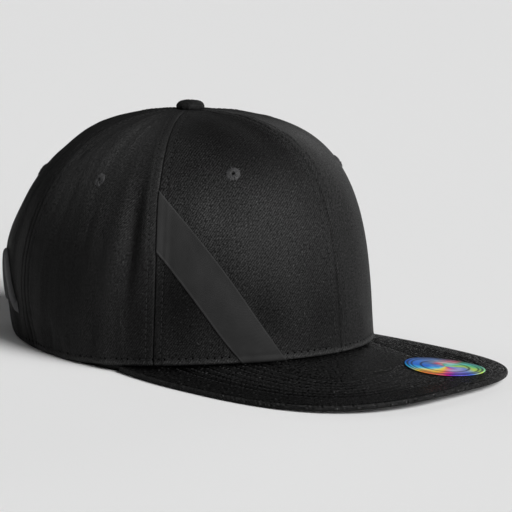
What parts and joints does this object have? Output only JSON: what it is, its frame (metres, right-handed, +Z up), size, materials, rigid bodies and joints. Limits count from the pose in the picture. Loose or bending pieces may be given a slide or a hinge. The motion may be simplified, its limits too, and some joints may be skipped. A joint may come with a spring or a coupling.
{
  "type": "flat bill cap",
  "caption": "Flat bill cap: structured panelled cotton twill crown with covered button and sewn eyelets, flat stitched bill, sweatband, diagonal woven stripe and round foil sticker.",
  "frame": {"origin": "on the surface that the cap rests on, below the middle of its overall length and width", "axes": "+Z up; the bill points to -Y; +X is the wearer's left"},
  "size_m": [0.1608, 0.2884, 0.1253],
  "materials": {
    "twill": "black cotton twill with a soft satin sheen",
    "bill_cloth": "black cotton twill over a stiff board, in rows of stitches",
    "band_cloth": "matte black cotton",
    "eyelet_thread": "dark grey sewing thread",
    "woven_tape": "flat dark grey ribbed tape",
    "satin_thread": "light grey satin stitch",
    "foil": "iridescent foil film"
  },
  "bodies": {
    "root": {"front_left_panel": "twill", "eyelet_front_left": "eyelet_thread", "side_left_panel": "twill", "eyelet_side_left": "eyelet_thread", "back_left_panel": "twill", "eyelet_back_left": "eyelet_thread", "back_right_panel": "twill", "eyelet_back_right": "eyelet_thread", "side_right_panel": "twill", "eyelet_side_right": "eyelet_thread", "front_right_panel": "twill", "eyelet_front_right": "eyelet_thread", "top_button": "twill", "bill": "bill_cloth", "sweatband": "band_cloth", "front_stripe": "woven_tape", "back_wave": "satin_thread", "bill_sticker": "foil"}
  },
  "joints": []
}
